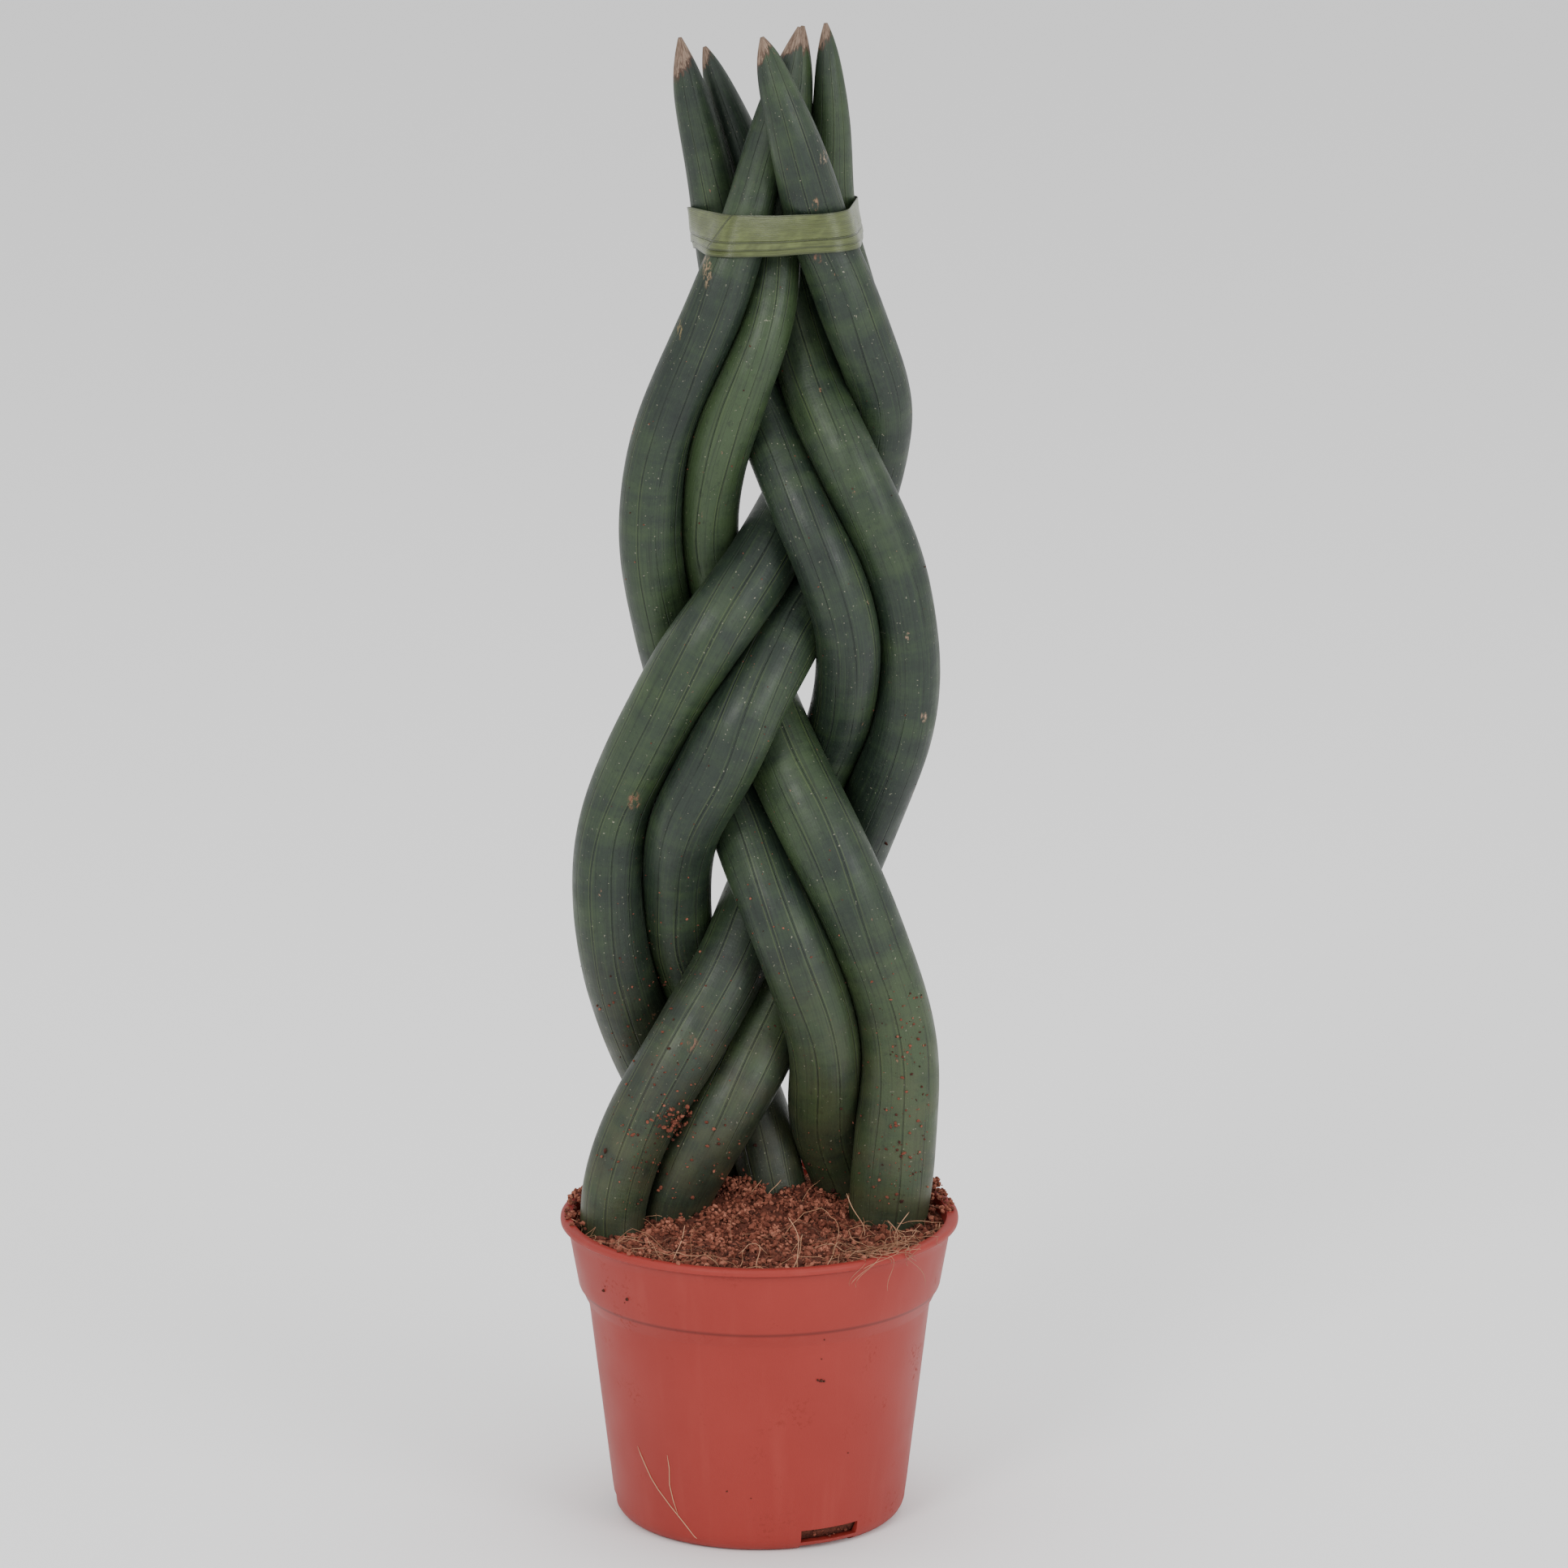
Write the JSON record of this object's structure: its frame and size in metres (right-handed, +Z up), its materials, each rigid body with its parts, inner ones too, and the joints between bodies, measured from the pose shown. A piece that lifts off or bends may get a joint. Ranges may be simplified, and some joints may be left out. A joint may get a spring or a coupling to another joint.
{
  "type": "braided cylindrical snake plant in a pot",
  "caption": "Tall plait of round tapering succulent leaves, tied with a satin ribbon near the tips, growing from soil in a small tapered plastic nursery pot.",
  "frame": {"origin": "centre of the pot's base on the ground", "axes": "+Z up; +X to the right across the flat of the plait; -Y is the front, where the soil is bare"},
  "size_m": [0.12, 0.12, 0.4495],
  "materials": {
    "pot": "matte moulded plastic, brick red",
    "soil": "loose moist coir, red brown",
    "leaf_dark": "waxy leaf skin, dark grey green",
    "leaf_pale": "waxy leaf skin, fresh green",
    "ribbon": "olive green satin ribbon"
  },
  "bodies": {
    "root": {"pot": "pot", "soil": "soil", "leaf_left_outer": "leaf_dark", "leaf_left_inner": "leaf_dark", "leaf_middle_front": "leaf_dark", "leaf_middle_back": "leaf_dark", "leaf_right_inner": "leaf_dark", "leaf_right_outer": "leaf_pale", "ribbon": "ribbon"}
  },
  "joints": []
}
